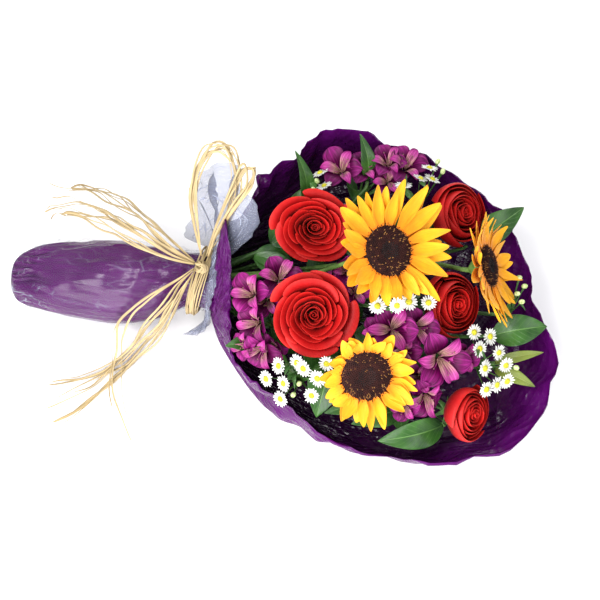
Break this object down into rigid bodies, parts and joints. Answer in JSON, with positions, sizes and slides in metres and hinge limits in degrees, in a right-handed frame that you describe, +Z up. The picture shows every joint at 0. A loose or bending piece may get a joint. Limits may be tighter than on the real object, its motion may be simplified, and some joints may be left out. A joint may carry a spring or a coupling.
{
  "type": "flower bouquet",
  "caption": "Wrapped bouquet of mixed cut flowers lying on its side: roses, sunflowers, alstroemerias and asters in a film sleeve tied at its neck with raffia.",
  "frame": {"origin": "on the resting surface, on the flat underside of the purple sleeve below the blooms nearest the tie", "axes": "+X from the wrapped handle towards the blooms, +Z up from the surface that the bouquet lies on, +Y to the side behind it in the picture"},
  "size_m": [0.5182, 0.3037, 0.1971],
  "materials": {
    "rose_petal": "velvety red petal",
    "rose_stem": "matt green, with the calyx",
    "sunflower_ray": "soft yellow petal, orange at its base",
    "sunflower_disc": "rough dark brown florets",
    "sunflower_stem": "rough green",
    "alstroemeria": "satin magenta petal",
    "aster": "white rays about a yellow-green button",
    "leaf": "waxy green",
    "olive_leaf": "waxy olive green",
    "purple_film": "crinkled dark purple film",
    "clear_film": "crinkled clear film",
    "raffia": "dry straw fibre"
  },
  "bodies": {
    "root": {"alstroemeria_1": "alstroemeria", "alstroemeria_2": "alstroemeria", "alstroemeria_3": "alstroemeria", "alstroemeria_4": "alstroemeria", "alstroemeria_5": "alstroemeria", "alstroemeria_6": "alstroemeria", "aster_1": "aster", "aster_2": "aster", "aster_3": "aster", "aster_4": "aster", "aster_5": "aster", "aster_6": "aster", "clear_film": "clear_film", "leaf_stem_1": "leaf", "leaf_stem_2": "leaf", "leaf_stem_3": "leaf", "leaf_stem_4": "leaf", "leaf_stem_5": "leaf", "leaf_stem_6": "leaf", "leaf_stem_7": "olive_leaf", "leaf_stem_8": "leaf", "purple_sleeve": "purple_film", "raffia_band": "raffia", "raffia_loops": "raffia", "raffia_tails_back": "raffia", "raffia_tails_front": "raffia", "rose_1_bloom": "rose_petal", "rose_1_stem": "rose_stem", "rose_2_bloom": "rose_petal", "rose_2_stem": "rose_stem", "rose_3_bloom": "rose_petal", "rose_3_stem": "rose_stem", "rose_4_bloom": "rose_petal", "rose_4_stem": "rose_stem", "rose_5_bloom": "rose_petal", "rose_5_stem": "rose_stem", "sunflower_1_disc": "sunflower_disc", "sunflower_1_rays": "sunflower_ray", "sunflower_1_stem": "sunflower_stem", "sunflower_2_disc": "sunflower_disc", "sunflower_2_rays": "sunflower_ray", "sunflower_2_stem": "sunflower_stem", "sunflower_3_disc": "sunflower_disc", "sunflower_3_rays": "sunflower_ray", "sunflower_3_stem": "sunflower_stem"}
  },
  "joints": []
}
